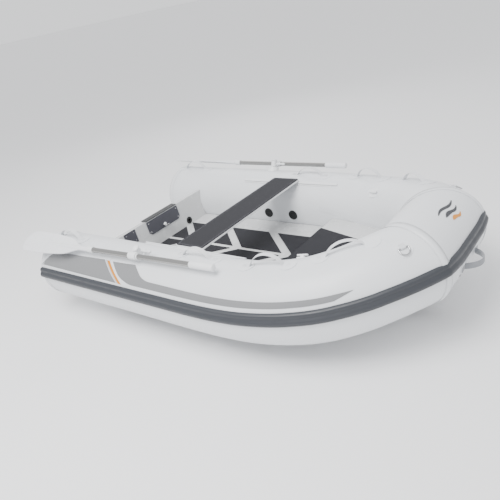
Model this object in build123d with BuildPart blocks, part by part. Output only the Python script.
"""Rigid-hull inflatable dinghy: tubes, moulded hull and deck, transom, seat, oars and fittings.

Frame, millimetres: +X towards the bow, +Y to port, +Z up.  The origin is under the middle of
the boat, at the height of the surface it stands on.  Positions along the boat are given as
stations, measured forward from the tube tails, and as heights above the side tubes' centreline.
"""
from build123d import *
from math import atan2, cos, degrees, radians, sin, sqrt, tan
import os

os.makedirs("parts", exist_ok=True)

# ---- driving dimensions -------------------------------------------------------------------
MIDSHIP = 1186.1            # station of the frame's origin
TUBE_HEIGHT = 290.0         # side tube centreline above the ground
TUBE_R = 196.0              # outside radius of the air tubes
SKIN = 1.2                  # coated fabric
SPAN = 575.0                # side tube centreline from the middle of the boat
TAIL = 90.0                 # station where the full tube begins, ahead of its tail cone
BOW_STATION = 2186.0        # centreline of the cross tube at the bow
BOW_HALF = 195.0            # half length of the cross tube, on its centreline
BOW_RISE = 105.0            # the bow tube's centreline above the side tubes'
# the side tube's centreline from its straight run to the bow mitre: station, y, height
BOW_CURVE = ((1300, SPAN, 0), (1430, 571, 0), (1570, 559, 2), (1720, 528, 10), (1860, 480, 27),
             (1990, 402, 55), (2100, 300, 85), (BOW_STATION, BOW_HALF, BOW_RISE))
HULL_FIT = 2.0              # glue gap between the tubes and the mouldings
GRP = 5.0                   # laminate thickness of hull and deck
SOLE = -75.0                # top of the cockpit sole
STEP_FOOT = 1390.0          # the bow step's riser starts here
STEP_TOP = 1475.0           # and ends here
BOW_DECK = 0.0              # top of the bow deck
KEEL_DEPTH = 285.0          # keel below the tube centreline, without its guard
KEEL_HALF = 35.0
STEM_STATION = 2335.0
TRANSOM_STATION = 400.0     # transom's inner face, at the height of TRANSOM_REF
TRANSOM_REF = 40.0
TRANSOM_TOP = 105.0
TRANSOM_T = 40.0
RAKE = 6.5                  # degrees, foot forward
RUN_FIT = 0.05              # radial clearance of turning fits


def ahead(station):
    return station - MIDSHIP


def above(height):
    return height + TUBE_HEIGHT


def spot(station, y, height):
    return Vector(ahead(station), y, above(height))


def save(piece, name):
    piece.label = name
    export_step(piece, f"parts/{name}.step")


def save_pair(piece, name):
    """Writes the port piece and its mirror image for the starboard side."""
    save(piece, f"port_{name}")
    save(mirror(piece, about=Plane.XZ), f"starboard_{name}")


# ---- the tubes' centreline ----------------------------------------------------------------
def corner_radii(points):
    """Each corner's arc takes 0.45 of the shorter run beside it."""
    radii = []
    for a, b, c in zip(points, points[1:], points[2:]):
        turn = radians((b - a).get_angle(c - b))
        radii.append(0.45 * min((b - a).length, (c - b).length) / tan(turn / 2))
    return radii


CURVE = [spot(*row) for row in BOW_CURVE]
MITRE = CURVE[-1]
LAST_RUN = (MITRE - CURVE[-2]).normalized()
SEAM_NORMAL = (LAST_RUN + Vector(0, -1, 0)).normalized()
SEAM = Plane(origin=MITRE, z_dir=SEAM_NORMAL)
SEAM_OVERRUN = 200.0


def side_points(tail):
    return [spot(tail, SPAN, 0)] + CURVE[:-1] + [MITRE + LAST_RUN * SEAM_OVERRUN]


def cross_section_plane(tail):
    """Across the port tube: x outwards, y up."""
    return Plane(origin=spot(tail, SPAN, 0), x_dir=(0, 1, 0), z_dir=(1, 0, 0))


def ring(radius, bore):
    Circle(radius)
    if bore:
        Circle(bore, mode=Mode.SUBTRACT)


def side_tube(tail, radius, bore=0):
    """The port tube as far as the bow mitre, solid or with a bore."""
    points = side_points(tail)
    with BuildPart() as tube:
        with BuildLine() as run:
            FilletPolyline(*points, radius=corner_radii(points))
        with BuildSketch(cross_section_plane(tail)):
            ring(radius, bore)
        sweep(path=run.line)
        split(bisect_by=SEAM, keep=Keep.BOTTOM)
    return tube.part


def cross_tube(radius, bore=0):
    """The straight tube across the bow, cut at both mitres."""
    with BuildPart() as tube:
        with BuildSketch(Plane(origin=(MITRE.X, 0, MITRE.Z), x_dir=(1, 0, 0), z_dir=(0, 1, 0))):
            ring(radius, bore)
        extrude(amount=BOW_HALF + SEAM_OVERRUN, both=True)
        split(bisect_by=SEAM, keep=Keep.TOP)
        mirror(about=Plane.XZ, mode=Mode.INTERSECT)
    return tube.part


def tube_space(radius):
    """All the room that the tubes take up, for cutting seats in other pieces."""
    with BuildPart() as space:
        add(side_tube(-60, radius))
        mirror(about=Plane.XZ)
        add(cross_tube(radius))
    return space.part


SEAT_SPACE = tube_space(TUBE_R + HULL_FIT)
TUBE_SPACE = tube_space(TUBE_R)

# ---- air chambers -------------------------------------------------------------------------
VALVE_STATIONS = (996.0, 1184.0)
VALVE_HEIGHT = -10.0
VALVE_BARREL_R = 22.0
VALVE_FLANGE_R = 31.0
VALVE_FLANGE_T = 3.0
VALVE_RECESS = 8.0
VALVE_DEPTH = 32.0
VALVE_BORE_R = 11.0
INNER_EQUATOR = SPAN - TUBE_R


def valve_plane(station, proud):
    """On the port tube's inner side: z points into the cockpit."""
    origin = spot(station, INNER_EQUATOR - proud, VALVE_HEIGHT)
    return Plane(origin=origin, x_dir=(1, 0, 0), z_dir=(0, -1, 0))


with BuildPart() as chamber:
    add(side_tube(TAIL, TUBE_R, TUBE_R - SKIN))
    for station in VALVE_STATIONS:
        with BuildSketch(valve_plane(station, 30)):
            Circle(VALVE_BARREL_R)
        extrude(amount=-60, mode=Mode.SUBTRACT)
save_pair(chamber.part, "chamber")

save(cross_tube(TUBE_R, TUBE_R - SKIN), "bow_chamber")

with BuildPart() as baffle:
    add(cross_tube(TUBE_R - SKIN - 0.1))
    split(bisect_by=Plane(origin=MITRE + SEAM_NORMAL * SKIN, z_dir=SEAM_NORMAL), keep=Keep.BOTTOM)
    split(bisect_by=Plane.XZ, keep=Keep.BOTTOM)
    mirror(about=Plane.XZ)
save(baffle.part, "chamber_baffles")

CONE_TIP_R = 100.0
CONE_WALL = 4.0
CONE_LAP = 35.0
with BuildPart() as tail_cone:
    with BuildSketch(Plane.XY.offset(above(0))):
        with BuildLine():
            lap_r = TUBE_R - SKIN - 0.2
            Polyline((ahead(TAIL + CONE_LAP), SPAN + lap_r), (ahead(TAIL), SPAN + lap_r),
                     (ahead(TAIL), SPAN + TUBE_R), (ahead(12), SPAN + CONE_TIP_R + 12),
                     (ahead(0), SPAN + CONE_TIP_R), (ahead(0), SPAN),
                     (ahead(CONE_WALL), SPAN), (ahead(CONE_WALL), SPAN + CONE_TIP_R - 3),
                     (ahead(TAIL), SPAN + lap_r - CONE_WALL),
                     (ahead(TAIL + CONE_LAP), SPAN + lap_r - CONE_WALL), close=True)
        make_face()
    revolve(axis=Axis((0, SPAN, above(0)), (1, 0, 0)))
save_pair(tail_cone.part, "tail_cone")

# ---- rub rail: a two-lobed strake just above the tubes' widest line -------------------------
RAIL_LOW = 1.4
RAIL_HIGH = 19.3
RAIL_START = TAIL + 2


def polar(radius, angle):
    return (radius * cos(radians(angle)), radius * sin(radians(angle)))


def rail_profile():
    back = TUBE_R + 0.2
    with BuildLine() as outline:
        foot = polar(back, RAIL_LOW)
        top = polar(back, RAIL_HIGH)
        lip = polar(TUBE_R + 3, RAIL_HIGH)
        groove = polar(TUBE_R + 11.5, 11.6)
        low_edge = polar(TUBE_R + 12, RAIL_LOW)
        ThreePointArc(foot, polar(back, 10), top)
        Line(top, lip)
        ThreePointArc(lip, polar(TUBE_R + 14, 15), groove)
        ThreePointArc(groove, polar(TUBE_R + 19, 6), low_edge)
        Line(low_edge, foot)
    make_face(outline.line)


rail_points = side_points(RAIL_START)
with BuildPart() as rail_side:
    with BuildLine() as rail_run:
        FilletPolyline(*rail_points, radius=corner_radii(rail_points))
    with BuildSketch(cross_section_plane(RAIL_START)):
        rail_profile()
    sweep(path=rail_run.line)
    split(bisect_by=SEAM, keep=Keep.BOTTOM)

with BuildPart() as rub_rail:
    with BuildSketch(Plane(origin=(MITRE.X, 0, MITRE.Z), x_dir=(1, 0, 0), z_dir=(0, -1, 0))):
        rail_profile()
    extrude(amount=BOW_HALF + SEAM_OVERRUN, both=True)
    split(bisect_by=SEAM, keep=Keep.TOP)
    mirror(about=Plane.XZ, mode=Mode.INTERSECT)
    add(rail_side.part)
    add(mirror(rail_side.part, about=Plane.XZ))
    add(TUBE_SPACE, mode=Mode.SUBTRACT)
save(rub_rail.part, "rub_rail")

# ---- hull, deck and keel ------------------------------------------------------------------
HULL_AFT = 380.0
HULL_PARALLEL = 1400.0
HULL_SECTIONS = 14


def hull_section(station, inset):
    """Half outline of the hull at a station: keel flat, chine, and up behind the tube."""
    stem = STEM_STATION - 2 * inset
    t = max(0.0, (station - HULL_PARALLEL) / (stem - HULL_PARALLEL))
    fullness = max(0.0, 1 - t * t)
    keel = -KEEL_DEPTH + (KEEL_DEPTH - 45) * t ** 7 + inset
    chine_y = 10 + (430 - 10) * fullness ** 0.75 - inset
    chine = -196 + 150 * t ** 3 + inset
    keel_y = 6 + (KEEL_HALF - 6) * fullness - inset / 2
    top_y = 20 + (SPAN - 20) * fullness ** 0.5
    top = BOW_DECK - GRP + 2 * inset
    return [(keel_y, keel), (max(chine_y, keel_y + 1), chine), (max(top_y, keel_y + 2), top)]


def hull_face(station, inset):
    half = [(y, above(z)) for y, z in hull_section(station, inset)]
    other = [(-y, z) for y, z in reversed(half)]
    with BuildSketch(Plane(origin=(ahead(station), 0, 0), x_dir=(0, 1, 0), z_dir=(1, 0, 0))) as face:
        with BuildLine():
            Polyline(*half, *other, close=True)
        make_face()
    return face.sketch


def hull_body(inset):
    """The volume inside the hull's outer surface, moved inwards by inset."""
    stem = STEM_STATION - 2 * inset
    step = (stem - HULL_PARALLEL) / (HULL_SECTIONS - 1)
    forward = [HULL_PARALLEL + step * k for k in range(HULL_SECTIONS)]
    with BuildPart() as body:
        loft([hull_face(station, inset) for station in (HULL_AFT, HULL_PARALLEL)], ruled=True)
        loft([hull_face(station, inset) for station in forward], ruled=True)
    return body.part



def transom_plane(aft=0.0):
    """The transom's inner face, or parallel to it further aft: y runs up the face."""
    z_dir = Vector(cos(radians(RAKE)), 0, sin(radians(RAKE)))
    return Plane(origin=spot(TRANSOM_STATION, 0, TRANSOM_REF) - z_dir * aft,
                 x_dir=(0, 1, 0), z_dir=z_dir)


def block(x0, x1, y0, y1, z0, z1, mode=Mode.ADD):
    """A box between two stations, two sides and two heights."""
    with Locations(spot((x0 + x1) / 2, (y0 + y1) / 2, (z0 + z1) / 2)):
        Box(x1 - x0, y1 - y0, z1 - z0, mode=mode)


HULL_OUT = hull_body(0)
HULL_IN = hull_body(GRP)

with BuildPart() as hull_shell:
    add(HULL_OUT)
    add(SEAT_SPACE, mode=Mode.SUBTRACT)
    add(HULL_IN, mode=Mode.SUBTRACT)
    block(0, STEP_TOP, -500, 500, SOLE - GRP, 60, mode=Mode.SUBTRACT)
    split(bisect_by=transom_plane(), keep=Keep.TOP)
save(hull_shell.part, "hull_shell")

GUARD_T = 5.0
with BuildPart() as keel_guard:
    add(hull_body(-GUARD_T))
    add(HULL_OUT, mode=Mode.SUBTRACT)
    block(446, 2280, -KEEL_HALF + 2, KEEL_HALF - 2, -KEEL_DEPTH - GUARD_T, -80, mode=Mode.INTERSECT)
save(keel_guard.part, "keel_guard")

STRINGER_Y = 150.0
STRINGER_W = 40.0
with BuildPart() as stringers:
    block(460, 1380, STRINGER_Y, STRINGER_Y + STRINGER_W, -KEEL_DEPTH, SOLE - GRP)
    mirror(about=Plane.XZ)
    add(HULL_IN, mode=Mode.INTERSECT)
save(stringers.part, "floor_stringers")

SOLE_AFT = 414.0
with BuildPart() as deck:
    with BuildSketch(Plane.XZ):
        with BuildLine():
            Polyline((ahead(SOLE_AFT), above(SOLE)), (ahead(STEP_FOOT), above(SOLE)),
                     (ahead(STEP_TOP), above(BOW_DECK)), (ahead(2120), above(BOW_DECK)),
                     (ahead(2120), above(BOW_DECK - GRP)), (ahead(STEP_TOP + 2), above(BOW_DECK - GRP)),
                     (ahead(STEP_FOOT + 2), above(SOLE - GRP)), (ahead(SOLE_AFT), above(SOLE - GRP)),
                     close=True)
        make_face()
    extrude(amount=470, both=True)
    add(SEAT_SPACE, mode=Mode.SUBTRACT)
    split(bisect_by=transom_plane(), keep=Keep.TOP)
save(deck.part, "deck_moulding")

# ---- deck pads: chevrons of foam sheet -----------------------------------------------------
PAD_T = 4.0
PAD_OUT = 235.0             # outer edge of the cockpit pads
PAD_IN = 15.0               # half of the gap down the middle
PAD_LENGTH = 298.0
PAD_PITCH = 367.0
PAD_SWEEP = 240.0           # the inner end lies this much further forward
FIRST_PAD = 48.0


def chevron(station):
    a = ahead(station)
    return [(a, PAD_OUT), (a + PAD_LENGTH, PAD_OUT), (a + PAD_LENGTH + PAD_SWEEP, PAD_IN),
            (a + PAD_SWEEP, PAD_IN)]


with BuildPart() as sole_pads:
    with BuildSketch(Plane.XY.offset(above(SOLE))):
        for k in range(4):
            with BuildLine():
                Polyline(*chevron(FIRST_PAD + PAD_PITCH * k), close=True)
            make_face()
        middle = (ahead(SOLE_AFT + 4) + ahead(STEP_FOOT - 4)) / 2
        with Locations((middle, PAD_OUT / 2)):
            Rectangle(STEP_FOOT - SOLE_AFT - 8, PAD_OUT, mode=Mode.INTERSECT)
        mirror(about=Plane.XZ)
    extrude(amount=PAD_T)
save(sole_pads.part, "sole_pads")

BOW_PAD = ((STEP_TOP + 1, 228), (1700, 163), (1930, 90))
with BuildPart() as bow_pads:
    with BuildSketch(Plane.XY.offset(above(BOW_DECK))):
        with BuildLine():
            Polyline(*[(ahead(x), y) for x, y in BOW_PAD],
                     *[(ahead(x), -y) for x, y in reversed(BOW_PAD)], close=True)
        make_face()
    extrude(amount=PAD_T)
    riser = Vector(STEP_TOP - STEP_FOOT, 0, BOW_DECK - SOLE)
    with BuildSketch(Plane(origin=spot(STEP_FOOT, 0, SOLE) + riser * 0.5, x_dir=(0, 1, 0),
                           z_dir=(-riser.Z, 0, riser.X))):
        Rectangle(2 * BOW_PAD[0][1], riser.length - 10)
    extrude(amount=PAD_T)
save(bow_pads.part, "bow_pads")

# ---- transom -------------------------------------------------------------------------------
CORE_INSET = 6.0
TRANSOM_HALF = ((0, -KEEL_DEPTH), (KEEL_HALF, -KEEL_DEPTH), (430, -196), (560, -20), (500, TRANSOM_TOP),
                (0, TRANSOM_TOP))


def transom_outline(inset=0.0):
    """The transom's full outline in its own plane, before the tubes cut it."""
    slope = cos(radians(RAKE))
    half = [(y, (z - TRANSOM_REF) / slope) for y, z in TRANSOM_HALF]
    with BuildLine() as outline:
        Polyline(*half, *[(-y, z) for y, z in reversed(half[1:-1])], close=True)
    make_face(outline.line)
    if inset:
        offset(amount=-inset, mode=Mode.REPLACE)


with BuildPart() as core:
    with BuildSketch(transom_plane(CORE_INSET)):
        transom_outline(CORE_INSET)
    extrude(amount=-(TRANSOM_T - 2 * CORE_INSET))
    add(tube_space(TUBE_R + HULL_FIT + CORE_INSET), mode=Mode.SUBTRACT)

EYE_LEG_R = 4.0
EYE_HALF = 18.0
EYE_HEIGHT = 24.0
DRAIN_Y = 215.0
DRAIN_HEIGHT = -45.0
DRAIN_R = 17.0


def on_transom(z):
    """Height measured along the raked face for a given height on the boat."""
    return (z - TRANSOM_REF) / cos(radians(RAKE))


def transom_holes():
    """Bolt holes of the eye and the drain's bore, through everything they meet."""
    with BuildSketch(transom_plane(-20)) as holes:
        with Locations((-EYE_HALF, on_transom(EYE_HEIGHT)), (EYE_HALF, on_transom(EYE_HEIGHT))):
            Circle(EYE_LEG_R + RUN_FIT)
        with Locations((DRAIN_Y, on_transom(DRAIN_HEIGHT))):
            Circle(DRAIN_R)
    extrude(holes.sketch, amount=-80, mode=Mode.SUBTRACT)


with BuildPart() as transom:
    with BuildSketch(transom_plane()):
        transom_outline()
    extrude(amount=-TRANSOM_T)
    add(SEAT_SPACE, mode=Mode.SUBTRACT)
    add(core.part, mode=Mode.SUBTRACT)
    transom_holes()
save(transom.part, "transom_skin")

with BuildPart() as transom_core:
    add(core.part)
    transom_holes()
save(transom_core.part, "transom_core")

PLATE_HALF = 145.0
PLATE_T = 5.0


def face_plate(high, low, aft, side):
    """A plate with cut lower corners on one face of the transom."""
    top = on_transom(high)
    foot = on_transom(low)
    cut = 18.0
    with BuildPart() as plate:
        with BuildSketch(transom_plane(aft)) as outline:
            with BuildLine():
                Polyline((-PLATE_HALF, top), (PLATE_HALF, top), (PLATE_HALF, foot + cut),
                         (PLATE_HALF - cut, foot), (-PLATE_HALF + cut, foot),
                         (-PLATE_HALF, foot + cut), close=True)
            make_face()
            fillet(outline.vertices(), 6)
        extrude(amount=side * PLATE_T)
        transom_holes()
    return plate.part


save(face_plate(98, 8, 0, 1), "inner_motor_pad")
save(face_plate(98, -70, TRANSOM_T, -1), "outer_motor_pad")

CAP_T = 4.0
with BuildPart() as cap:
    with BuildSketch(Plane(origin=(0, -PLATE_HALF, 0), x_dir=(1, 0, 0), z_dir=(0, 1, 0))):
        lean = tan(radians(RAKE)) * (TRANSOM_TOP - TRANSOM_REF)
        inner = ahead(TRANSOM_STATION) - lean
        outer = inner - TRANSOM_T / cos(radians(RAKE))
        with BuildLine():
            top = above(TRANSOM_TOP)
            Polyline((inner + CAP_T, -(top + CAP_T)), (outer - CAP_T, -(top + CAP_T)),
                     (outer - CAP_T, -top), (inner + CAP_T, -top), close=True)
        make_face()
    extrude(amount=2 * PLATE_HALF)
    fillet(cap.edges().filter_by(Axis.Y).group_by(Axis.Z)[-1], 2.5)
save(cap.part, "transom_cap")

EYE_REACH = 34.0
with BuildPart() as eye:
    with BuildLine(Plane(origin=transom_plane().origin + transom_plane().y_dir * on_transom(EYE_HEIGHT),
                         x_dir=(0, 1, 0), z_dir=transom_plane().y_dir)) as bow_line:
        start = (-EYE_HALF, TRANSOM_T + 16)
        Line(start, (-EYE_HALF, -EYE_REACH + EYE_HALF))
        ThreePointArc((-EYE_HALF, -EYE_REACH + EYE_HALF), (0, -EYE_REACH),
                      (EYE_HALF, -EYE_REACH + EYE_HALF))
        Line((EYE_HALF, -EYE_REACH + EYE_HALF), (EYE_HALF, TRANSOM_T + 16))
    with BuildSketch(Plane(origin=bow_line.line @ 0, z_dir=bow_line.line % 0)):
        Circle(EYE_LEG_R)
    sweep(path=bow_line.line)
save(eye.part, "transom_eye")

NUT_FLATS = 13.0
with BuildPart() as nuts:
    with BuildSketch(transom_plane(TRANSOM_T + PLATE_T)):
        with Locations((-EYE_HALF, on_transom(EYE_HEIGHT)), (EYE_HALF, on_transom(EYE_HEIGHT))):
            Circle(11)
            Circle(EYE_LEG_R, mode=Mode.SUBTRACT)
    extrude(amount=-1.5)
    with BuildSketch(transom_plane(TRANSOM_T + PLATE_T + 1.5)):
        with Locations((-EYE_HALF, on_transom(EYE_HEIGHT)), (EYE_HALF, on_transom(EYE_HEIGHT))):
            RegularPolygon(NUT_FLATS / 2, 6, major_radius=False)
            Circle(EYE_LEG_R, mode=Mode.SUBTRACT)
    extrude(amount=-6.5)
save(nuts.part, "transom_eye_nuts")

DRAIN_BORE_R = 12.0
DRAIN_FLANGE_R = 25.0


def drain_disc(aft, radius, length, mode=Mode.ADD):
    with BuildSketch(transom_plane(aft)) as disc:
        with Locations((DRAIN_Y, on_transom(DRAIN_HEIGHT))):
            Circle(radius)
    extrude(disc.sketch, amount=-length, mode=mode)


with BuildPart() as drain_socket:
    drain_disc(-3, DRAIN_FLANGE_R, 3)
    drain_disc(-3, DRAIN_R, TRANSOM_T + 6)
    drain_disc(TRANSOM_T, DRAIN_FLANGE_R, 3)
    drain_disc(-4, DRAIN_BORE_R, TRANSOM_T + 10, mode=Mode.SUBTRACT)
save(drain_socket.part, "drain_socket")

with BuildPart() as drain_plug:
    drain_disc(TRANSOM_T - 18, DRAIN_BORE_R - RUN_FIT, 21 + 0.3)
    drain_disc(TRANSOM_T + 3.3, 21, 7)
    with BuildSketch(transom_plane(TRANSOM_T + 10.3)):
        with Locations((DRAIN_Y, on_transom(DRAIN_HEIGHT))):
            Rectangle(30, 6)
    extrude(amount=-10)
save(drain_plug.part, "drain_plug")

with BuildPart() as corner_plate:
    with BuildSketch(transom_plane()):
        with Locations((-292, on_transom(62))):
            RectangleRounded(96, 84, 4)
    extrude(amount=2)
save(corner_plate.part, "corner_plate")

# ---- valves ---------------------------------------------------------------------------------
with BuildPart() as valve_bodies:
    for station in VALVE_STATIONS:
        with BuildSketch(valve_plane(station, VALVE_FLANGE_T)):
            Circle(VALVE_FLANGE_R)
        extrude(amount=-9)
    add(TUBE_SPACE, mode=Mode.SUBTRACT)
    for station in VALVE_STATIONS:
        with BuildSketch(valve_plane(station, VALVE_FLANGE_T)):
            Circle(VALVE_BARREL_R)
        extrude(amount=-VALVE_DEPTH)
        with BuildSketch(valve_plane(station, VALVE_FLANGE_T)):
            Circle(VALVE_BARREL_R - 2)
        extrude(amount=-VALVE_RECESS, mode=Mode.SUBTRACT)
        with BuildSketch(valve_plane(station, VALVE_FLANGE_T)):
            Circle(VALVE_BORE_R)
        extrude(amount=-VALVE_DEPTH, mode=Mode.SUBTRACT)
save_pair(valve_bodies.part, "valve_bodies")

CAP_RIDGE = 2.0
for name, station in zip(("aft", "fore"), VALVE_STATIONS):
    with BuildPart() as valve_cap:
        with BuildSketch(valve_plane(station, VALVE_FLANGE_T - CAP_RIDGE)):
            Circle(VALVE_BARREL_R - 2 - 0.1)
        extrude(amount=-(VALVE_RECESS - CAP_RIDGE - 0.2))
        with BuildSketch(valve_plane(station, VALVE_FLANGE_T - CAP_RIDGE)):
            Rectangle(30, 6)
        extrude(amount=CAP_RIDGE)
    save_pair(valve_cap.part, f"{name}_valve_cap")

# ---- seat and its tracks --------------------------------------------------------------------
TRACK_START = 776.0
TRACK_END = 1476.0
TRACK_ANGLE = 59.0          # above the tube's inner equator
TRACK_BASE_W = 30.0
TRACK_HEAD_W = 15.0
SEAT_AFT = 1015.0
SEAT_LENGTH = 191.0
SEAT_HALF = 480.0
SEAT_UNDER = 184.0
SEAT_T = 10.0
SLIDE_FIT = 0.4

TRACK_OUT = Vector(0, -cos(radians(TRACK_ANGLE)), sin(radians(TRACK_ANGLE)))


def track_plane(station, radius):
    """Across the track: x along the tube's skin, y away from it."""
    return Plane(origin=spot(station, SPAN, 0) + TRACK_OUT * radius,
                 x_dir=(0, TRACK_OUT.Z, -TRACK_OUT.Y), z_dir=(1, 0, 0))


def track_bar(width, low, high, start, length, mode=Mode.ADD):
    """A bar of the track's section, from one radius of the tube to another."""
    with BuildSketch(track_plane(start, (low + high) / 2)) as section:
        Rectangle(width, high - low)
    extrude(section.sketch, amount=length, mode=mode)


TRACK_LENGTH = TRACK_END - TRACK_START
HEAD_LOW = TUBE_R + 7
HEAD_HIGH = TUBE_R + 11
with BuildPart() as track:
    track_bar(TRACK_BASE_W, TUBE_R - 2, TUBE_R + 3, TRACK_START, TRACK_LENGTH)
    track_bar(6, TUBE_R, HEAD_LOW, TRACK_START, TRACK_LENGTH)
    track_bar(TRACK_HEAD_W, HEAD_LOW, HEAD_HIGH, TRACK_START, TRACK_LENGTH)
    add(TUBE_SPACE, mode=Mode.SUBTRACT)
    mirror(about=Plane.XZ)
save(track.part, "seat_tracks")

with BuildPart() as seat_board:
    block(SEAT_AFT, SEAT_AFT + SEAT_LENGTH, -SEAT_HALF, SEAT_HALF, SEAT_UNDER, SEAT_UNDER + SEAT_T)
    fillet(seat_board.edges().filter_by(Axis.Z), 14)
    fillet(seat_board.edges().group_by(Axis.Z)[0], 2.5)
save(seat_board.part, "seat_board")

with BuildPart() as seat_pad:
    block(SEAT_AFT + 3, SEAT_AFT + SEAT_LENGTH - 3, -SEAT_HALF + 3, SEAT_HALF - 3,
          SEAT_UNDER + SEAT_T, SEAT_UNDER + SEAT_T + PAD_T)
    fillet(seat_pad.edges().filter_by(Axis.Z), 12)
save(seat_pad.part, "seat_pad")

SLIDE_INSET = 15.0
SLIDE_LENGTH = SEAT_LENGTH - 2 * SLIDE_INSET
with BuildPart() as slides:
    slide_start = SEAT_AFT + SLIDE_INSET
    track_bar(26, TUBE_R + 3.6, HEAD_HIGH + 4, slide_start, SLIDE_LENGTH)
    block(slide_start, slide_start + SLIDE_LENGTH, 446, 478, SEAT_UNDER - 8, SEAT_UNDER)
    block(0, MIDSHIP * 2, -SEAT_HALF, SEAT_HALF, SEAT_UNDER, SEAT_UNDER + 40, mode=Mode.SUBTRACT)
    track_bar(6 + 2 * SLIDE_FIT, TUBE_R, HEAD_LOW, slide_start, SLIDE_LENGTH, mode=Mode.SUBTRACT)
    track_bar(TRACK_HEAD_W + 2 * SLIDE_FIT, HEAD_LOW - SLIDE_FIT, HEAD_HIGH + SLIDE_FIT,
              slide_start, SLIDE_LENGTH, mode=Mode.SUBTRACT)
    add(tube_space(TUBE_R + 1), mode=Mode.SUBTRACT)
    mirror(about=Plane.XZ)
save(slides.part, "seat_slides")

# ---- oars and rowlocks ----------------------------------------------------------------------
LOCK_STATION = 910.0
LOCK_Y = 677.0
LOCK_HEIGHT = 216.0
OAR_TOE = 1.9               # degrees that the stowed oar points inboard at the handle
SHAFT_R = 14.0
SHAFT_WALL = 1.5
SHAFT_AFT = -372.0
SHAFT_FWD = 400.0
GRIP_R = 17.0
GRIP_END = 536.0
BLADE_END = -980.0
BLADE_HALF = 72.0
COLLAR_HALF = 24.0
PIN_R = 6.0
PIN_OFFSET = -36.0          # the rowlock pin stands inboard of the shaft

OAR_UP = Vector(0, LOCK_Y - SPAN, LOCK_HEIGHT).normalized()
OAR_OUT = Vector(0, OAR_UP.Z, -OAR_UP.Y)
OAR_AHEAD = Vector(1, 0, 0) * cos(radians(OAR_TOE)) - OAR_OUT * sin(radians(OAR_TOE))
OAR_SIDE = OAR_UP.cross(OAR_AHEAD)
LOCK = spot(LOCK_STATION, LOCK_Y, LOCK_HEIGHT)


def along_oar(s):
    """Plane across the shaft, s ahead of the rowlock: x outboard, y towards the tube's skin."""
    return Plane(origin=LOCK + OAR_AHEAD * s, x_dir=OAR_SIDE, z_dir=OAR_AHEAD)


def over_oar(height, s=0.0, out=0.0):
    """Plane parallel to the flat blade: x towards the handle, y outboard, z away from the tube."""
    origin = LOCK + OAR_UP * height + OAR_AHEAD * s + OAR_SIDE * out
    return Plane(origin=origin, x_dir=OAR_AHEAD, z_dir=OAR_UP)


def shaft_ring(start, end, radius, bore):
    with BuildSketch(along_oar(start)) as section:
        ring(radius, bore)
    extrude(section.sketch, amount=end - start)


with BuildPart() as shaft:
    shaft_ring(SHAFT_AFT, SHAFT_FWD, SHAFT_R, SHAFT_R - SHAFT_WALL)
save_pair(shaft.part, "oar_shaft")

with BuildPart() as grip:
    shaft_ring(390, GRIP_END, GRIP_R, 0)
    fillet(grip.edges(), 3)
    with BuildSketch(along_oar(390)):
        Circle(SHAFT_R)
    extrude(amount=SHAFT_FWD - 390, mode=Mode.SUBTRACT)
save_pair(grip.part, "oar_grip")

with BuildPart() as ferrule:
    shaft_ring(-368, -326, GRIP_R + 1, SHAFT_R)
    chamfer(ferrule.edges(), 0.8)
save_pair(ferrule.part, "oar_ferrule")

with BuildPart() as stops:
    for start in (-COLLAR_HALF - 10, COLLAR_HALF + 2):
        shaft_ring(start, start + 8, GRIP_R, SHAFT_R)
save_pair(stops.part, "oar_stops")

BLADE_OUTLINE = ((-470, 21), (-530, 46), (-620, 62), (-760, BLADE_HALF), (-930, BLADE_HALF))
with BuildPart() as blade:
    with BuildSketch(over_oar(-3)):
        with BuildLine():
            Line((-430, -13), (-430, 13))
            Spline((-430, 13), *BLADE_OUTLINE)
            ThreePointArc(BLADE_OUTLINE[-1], (BLADE_END, 0), (-930, -BLADE_HALF))
            Spline((-930, -BLADE_HALF), *[(s, -w) for s, w in reversed(BLADE_OUTLINE[:-1])], (-430, -13))
        make_face()
    extrude(amount=6)
    with BuildSketch(along_oar(SHAFT_AFT - 0.2)):
        Circle(SHAFT_R)
    with BuildSketch(along_oar(-470)):
        Ellipse(16, 11)
    loft()
    with BuildSketch(along_oar(-470)):
        Ellipse(16, 11)
    with BuildSketch(along_oar(-760)):
        Ellipse(9, 4.5)
    loft()
save_pair(blade.part, "oar_blade")

LOCK_BASE_TOP = -25.0
LUG_LOW = -22.0
LUG_HIGH = 14.0
with BuildPart() as lock_base:
    with BuildSketch(over_oar(LOCK_BASE_TOP, 0, PIN_OFFSET)):
        Circle(33)
    extrude(amount=-60, taper=-12)
    add(TUBE_SPACE, mode=Mode.SUBTRACT)
    with BuildSketch(over_oar(LOCK_BASE_TOP, 0, PIN_OFFSET)):
        Circle(PIN_R)
    extrude(amount=-12, mode=Mode.SUBTRACT)
save_pair(lock_base.part, "rowlock_base")

with BuildPart() as lock_pin:
    with BuildSketch(over_oar(LOCK_BASE_TOP - 12, 0, PIN_OFFSET)):
        Circle(PIN_R)
    extrude(amount=LUG_HIGH + 8 - LOCK_BASE_TOP + 12)
save_pair(lock_pin.part, "rowlock_pin")

with BuildPart() as knob:
    with BuildSketch(over_oar(LUG_HIGH + 1, 0, PIN_OFFSET)):
        Circle(20)
    extrude(amount=13)
    fillet(knob.edges().group_by(SortBy.DISTANCE)[-1], 1)
    with BuildSketch(over_oar(LUG_HIGH + 1, 0, PIN_OFFSET)):
        Circle(PIN_R)
    extrude(amount=7, mode=Mode.SUBTRACT)
save_pair(knob.part, "rowlock_knob")

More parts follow.
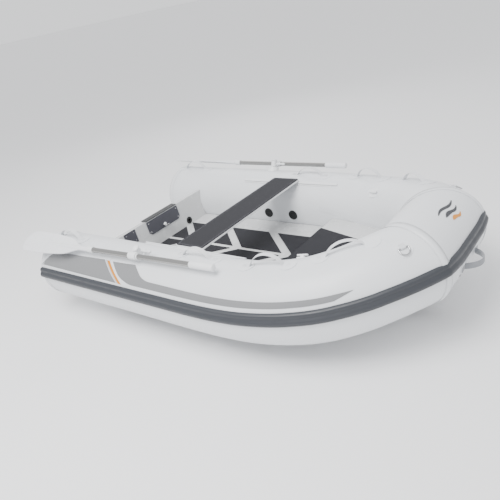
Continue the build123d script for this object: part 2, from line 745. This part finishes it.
with BuildPart() as collar:
    with BuildSketch(along_oar(-COLLAR_HALF)):
        Circle(SHAFT_R + 7)
    extrude(amount=2 * COLLAR_HALF)
    with BuildSketch(over_oar(LUG_LOW, 0, PIN_OFFSET)):
        Circle(17)
    extrude(amount=LUG_HIGH - LUG_LOW)
    with BuildSketch(over_oar(LUG_LOW, 0, PIN_OFFSET / 2)):
        Rectangle(24, -PIN_OFFSET)
    extrude(amount=LUG_HIGH - LUG_LOW)
    with BuildSketch(along_oar(-COLLAR_HALF)):
        Circle(SHAFT_R + RUN_FIT)
    extrude(amount=2 * COLLAR_HALF, mode=Mode.SUBTRACT)
    with BuildSketch(over_oar(LUG_LOW, 0, PIN_OFFSET)):
        Circle(PIN_R + RUN_FIT)
    extrude(amount=LUG_HIGH - LUG_LOW, mode=Mode.SUBTRACT)
save_pair(collar.part, "rowlock_collar")

# ---- webbing handles -------------------------------------------------------------------------
STRAP_W = 25.0
STRAP_T = 3.0
FOOT = 38.0
PATCH_T = 1.6
PATCH_SPACE = tube_space(TUBE_R + PATCH_T)
# both feet and the crown: station, y, height
HANDLES = (((135, 585, 196), (325, 585, 196), 250), ((1150, 556, 196), (1330, 556, 196), 246),
           ((1573, 557, 199), (1736, 520, 208), 262), ((1906, 445, 234), (2060, 348, 264), 299))


def strap_plane(a, b):
    middle = (a + b) * 0.5
    return Plane(origin=middle, x_dir=(b - a), z_dir=(b - a).cross(Vector(0, 0, 1)))


def strap(a, b, crown):
    """A webbing loop standing on the tube between two feet, sewn flat at each end."""
    rise = crown - (a.Z + b.Z) / 2
    half = (b - a).length / 2
    floor = PATCH_T + 0.4
    with BuildSketch(strap_plane(a, b)) as side:
        with BuildLine():
            ThreePointArc((-half, floor), (0, rise), (half, floor))
            Line((half, floor), (half + FOOT, floor))
            Line((half + FOOT, floor), (half + FOOT, floor + STRAP_T))
            Line((half + FOOT, floor + STRAP_T), (half + 2, floor + STRAP_T))
            ThreePointArc((half + 2, floor + STRAP_T), (0, rise + STRAP_T), (-half - 2, floor + STRAP_T))
            Line((-half - 2, floor + STRAP_T), (-half - FOOT, floor + STRAP_T))
            Line((-half - FOOT, floor + STRAP_T), (-half - FOOT, floor))
            Line((-half - FOOT, floor), (-half, floor))
        make_face()
    extrude(side.sketch, amount=STRAP_W / 2, both=True)


with BuildPart() as handles:
    for a, b, crown in HANDLES:
        strap(spot(*a), spot(*b), above(crown))
    add(PATCH_SPACE, mode=Mode.SUBTRACT)
save_pair(handles.part, "grab_handles")

BOW_FOOT_Y = 75.0
BOW_HANDLE_Z = 60.0
bow_foot_x = BOW_STATION + sqrt(TUBE_R ** 2 - (BOW_RISE - BOW_HANDLE_Z) ** 2)
with BuildPart() as bow_handle:
    with BuildSketch(Plane(origin=spot(bow_foot_x + 1, 0, BOW_HANDLE_Z), x_dir=(0, 1, 0),
                           z_dir=(0, 0, -1))):
        with BuildLine():
            ThreePointArc((-BOW_FOOT_Y, 4), (0, 60), (BOW_FOOT_Y, 4))
            Line((BOW_FOOT_Y, 4), (BOW_FOOT_Y + FOOT, 4))
            Line((BOW_FOOT_Y + FOOT, 4), (BOW_FOOT_Y + FOOT, 8))
            Line((BOW_FOOT_Y + FOOT, 8), (BOW_FOOT_Y + 3, 8))
            ThreePointArc((BOW_FOOT_Y + 3, 8), (0, 64), (-BOW_FOOT_Y - 3, 8))
            Line((-BOW_FOOT_Y - 3, 8), (-BOW_FOOT_Y - FOOT, 8))
            Line((-BOW_FOOT_Y - FOOT, 8), (-BOW_FOOT_Y - FOOT, 4))
            Line((-BOW_FOOT_Y - FOOT, 4), (-BOW_FOOT_Y, 4))
        make_face()
    extrude(amount=17, both=True)
save(bow_handle.part, "bow_handle")

# ---- lifting rings on the shoulders of the bow ----------------------------------------------
TOWING_SPOT = spot(2146, 243.5, 95.3)       # on the centreline of the port tube's last run
RING_OUT = Vector(0.343, 0.447, 0.826).normalized()
RING_AXIS = LAST_RUN - RING_OUT * LAST_RUN.dot(RING_OUT)
RING_AXIS = RING_AXIS.normalized()
RING_WIRE_R = 3.0
RING_HALF = 22.0
RING_REACH = 34.0
RING_LIFT = 7.0
TAB_W = 24.0


def ring_plane(lift):
    """Parallel to the skin under the ring: x along the hinge bar, y down the tube, z away from it."""
    origin = TOWING_SPOT + RING_OUT * (TUBE_R + lift)
    return Plane(origin=origin, x_dir=RING_AXIS, z_dir=RING_OUT)


with BuildPart() as lifting_ring:
    shoulder = RING_REACH - RING_HALF
    with BuildLine(ring_plane(RING_LIFT)) as wire:
        Line((RING_HALF, 0), (RING_HALF, shoulder))
        ThreePointArc((RING_HALF, shoulder), (0, RING_REACH), (-RING_HALF, shoulder))
        Line((-RING_HALF, shoulder), (-RING_HALF, 0))
    with BuildSketch(Plane(origin=wire.line @ 0, z_dir=wire.line % 0)):
        Circle(RING_WIRE_R)
    sweep(path=wire.line)
    with BuildSketch(Plane(origin=wire.line @ 0, z_dir=-RING_AXIS)):
        Circle(RING_WIRE_R)
    extrude(amount=2 * RING_HALF)
    with Locations(wire.line @ 0, wire.line @ 1):
        Sphere(RING_WIRE_R)
save_pair(lifting_ring.part, "lifting_ring")

with BuildPart() as ring_tabs:
    with BuildSketch(ring_plane(PATCH_T)):
        with Locations((0, -8)):
            Rectangle(TAB_W, 28)
    extrude(amount=RING_LIFT - PATCH_T)
    with BuildSketch(Plane(origin=ring_plane(RING_LIFT).origin - RING_AXIS * TAB_W / 2, z_dir=RING_AXIS)):
        Circle(RING_WIRE_R + 2.5)
    extrude(amount=TAB_W)
    with BuildSketch(Plane(origin=ring_plane(RING_LIFT).origin - RING_AXIS * TAB_W / 2, z_dir=RING_AXIS)):
        Circle(RING_WIRE_R + RUN_FIT)
    extrude(amount=TAB_W, mode=Mode.SUBTRACT)
    add(PATCH_SPACE, mode=Mode.SUBTRACT)
    mirror(about=Plane.XZ)
save(ring_tabs.part, "ring_tabs")

# ---- strap anchors: a moulded foot with a T-shaped hook on the inner shoulder -----------------
ANCHOR_RUN = (CURVE[3] + CURVE[4]) * 0.5
ANCHOR_AHEAD = (CURVE[4] - CURVE[3]).normalized()
ANCHOR_ANGLE = 52.0
ANCHOR_IN = ANCHOR_AHEAD.cross(Vector(0, 0, 1)).normalized()


def anchor_plane(lift):
    out = (ANCHOR_IN * cos(radians(ANCHOR_ANGLE)) + Vector(0, 0, 1) * sin(radians(ANCHOR_ANGLE)))
    return Plane(origin=ANCHOR_RUN + out * (TUBE_R + lift), x_dir=ANCHOR_AHEAD, z_dir=out)


with BuildPart() as anchors:
    with BuildSketch(anchor_plane(4)):
        RectangleRounded(46, 60, 12)
    extrude(amount=-14)
    with BuildSketch(anchor_plane(4)):
        Rectangle(16, 22)
    extrude(amount=10)
    with BuildSketch(anchor_plane(14)):
        RectangleRounded(54, 16, 7)
    extrude(amount=6)
    add(TUBE_SPACE, mode=Mode.SUBTRACT)
    mirror(about=Plane.XZ)
save(anchors.part, "strap_anchors")

# ---- reinforcing patches under everything sewn or glued to the tubes ---------------------------
PATCH_R = 42.0


def patch_post(centre):
    """A post over a patch, standing upright through the tube's skin."""
    with BuildSketch(Plane(origin=Vector(centre.X, centre.Y, above(150)))) as disc:
        Circle(PATCH_R)
    extrude(disc.sketch, amount=200)


with BuildPart() as patch_posts:
    for a, b, crown in HANDLES:
        run = (spot(*b) - spot(*a)).normalized() * (FOOT / 2 + 2)
        patch_post(spot(*a) - run)
        patch_post(spot(*b) + run)
    with BuildSketch(ring_plane(-10)):
        Circle(PATCH_R)
    extrude(amount=30)
    for y in (-BOW_FOOT_Y - FOOT / 2, BOW_FOOT_Y + FOOT / 2):
        with BuildSketch(Plane(origin=spot(bow_foot_x - 12, y, BOW_HANDLE_Z), z_dir=(1, 0, 0))):
            Circle(30)
        extrude(amount=40)
    mirror(about=Plane.XZ)

with BuildPart() as patches:
    add(PATCH_SPACE)
    add(TUBE_SPACE, mode=Mode.SUBTRACT)
    add(patch_posts.part, mode=Mode.INTERSECT)
save(patches.part, "handle_patches")
